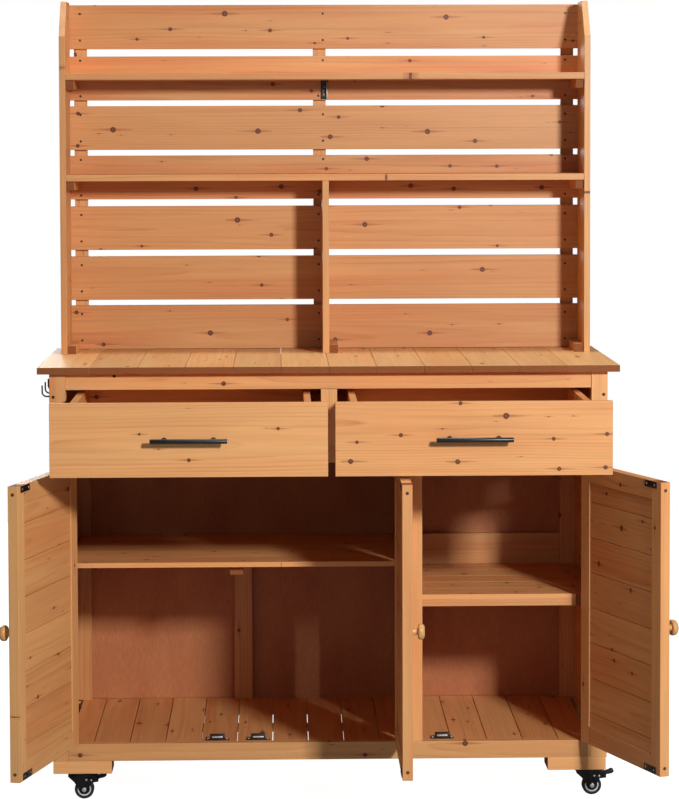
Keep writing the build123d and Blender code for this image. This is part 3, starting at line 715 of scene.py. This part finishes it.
# The rest need only their edges softened, by this many millimetres.
for plain_node, bend in (("tool_hooks", 0.4), ("cabinet_hinges", 0.2), ("castor_plates", 0.4),
                         ("left_door_knob", 0.6), ("middle_door_knob", 0.6),
                         ("right_door_knob", 0.6), ("front_left_castor_pedal", 1.0),
                         ("front_right_castor_pedal", 1.0)):
    fitting(plain_node, [MATERIALS[RECORD_SLOTS[plain_node]]], bend)


# ------------------------------------------------------------------ stage, light and camera
def floor_stage():
    """A floor that looks white to the camera, yet throws little light back up at the bench."""
    bm = bmesh.new()
    bmesh.ops.create_grid(bm, x_segments=1, y_segments=1, size=4)
    mesh = bpy.data.meshes.new("studio_floor")
    bm.to_mesh(mesh)
    bm.free()
    floor = bpy.data.objects.new("studio_floor", mesh)
    bpy.context.scene.collection.objects.link(floor)
    material, tree, shader = new_material("studio_white")
    seen = add(tree, "LightPath").outputs["Is Camera Ray"]
    shader.inputs["Base Color"].default_value = (0.35, 0.35, 0.35, 1)
    shader.inputs["Roughness"].default_value = 0.9
    shader.inputs["Specular IOR Level"].default_value = 0.0
    shader.inputs["Emission Color"].default_value = (1, 1, 1, 1)
    tree.links.new(math_node(tree, "MULTIPLY_ADD", seen, 0.96, 0.02), shader.inputs["Emission Strength"])
    mesh.materials.append(material)


def area_light(name, place, target, size, power):
    """A rectangular lamp that faces its target. Sizes are in metres and power in watts."""
    data = bpy.data.lights.new(name, "AREA")
    data.shape = "RECTANGLE"
    data.size, data.size_y = size
    data.energy = power
    light = bpy.data.objects.new(name, data)
    light.location = place
    light.rotation_euler = (Vector(target) - Vector(place)).to_track_quat("-Z", "Y").to_euler()
    bpy.context.scene.collection.objects.link(light)


def studio():
    """A white room with a hard key light on the right, weak fill, and soft light from above and behind."""
    world = bpy.data.worlds.new("studio_world")
    bpy.context.scene.world = world
    world.use_nodes = True
    tree = world.node_tree
    tree.nodes.clear()
    seen = add(tree, "LightPath").outputs["Is Camera Ray"]
    strength = math_node(tree, "MULTIPLY_ADD", seen, 0.95, 0.05)
    sky = add(tree, "Background", {"Color": (1, 1, 1, 1), "Strength": strength})
    add(tree, "OutputWorld", {"Surface": sky.outputs[0]})
    heart = Vector((CABINET_X, FACE_Y, 0.85))
    behind = heart + Vector((0, 0.5, 0))
    above = (CABINET_X, FACE_Y + 0.1, 0)
    area_light("key_light", (CABINET_X + 1.74, FACE_Y - 3.65, 2.2), heart, (0.4, 0.4), 160)
    area_light("fill_light", (CABINET_X - 0.6, FACE_Y - 5.2, 1.6), heart, (1.6, 1.6), 8)
    area_light("back_light", (CABINET_X - 1.8, FACE_Y + 5.2, 1.9), behind, (1.8, 1.8), 70)
    area_light("top_light", (CABINET_X, FACE_Y + 0.1, 4.6), above, (1.6, 0.8), 80)


def camera():
    """A long lens at chest height, a little left of the bench's middle, looking slightly down."""
    down, right, lean_angle = 3.05, 1.289, 0.17  # degrees
    data = bpy.data.cameras.new("camera")
    data.sensor_width = 36.0
    data.lens = 121.8
    data.shift_y = -0.148
    data.clip_end = 100
    eye = bpy.data.objects.new("camera", data)
    bpy.context.scene.collection.objects.link(eye)
    place = Matrix.Translation((CABINET_X - 0.1016, FACE_Y - 5.496, 1.365))
    turn = Matrix.Rotation(math.radians(-right), 4, "Z")
    tilt = Matrix.Rotation(math.radians(90 - down), 4, "X")
    lean = Matrix.Rotation(math.radians(-lean_angle), 4, "Z")
    eye.matrix_world = place @ turn @ tilt @ lean
    bpy.context.scene.camera = eye
    bpy.context.scene.view_settings.view_transform = "Standard"


floor_stage()
studio()
camera()
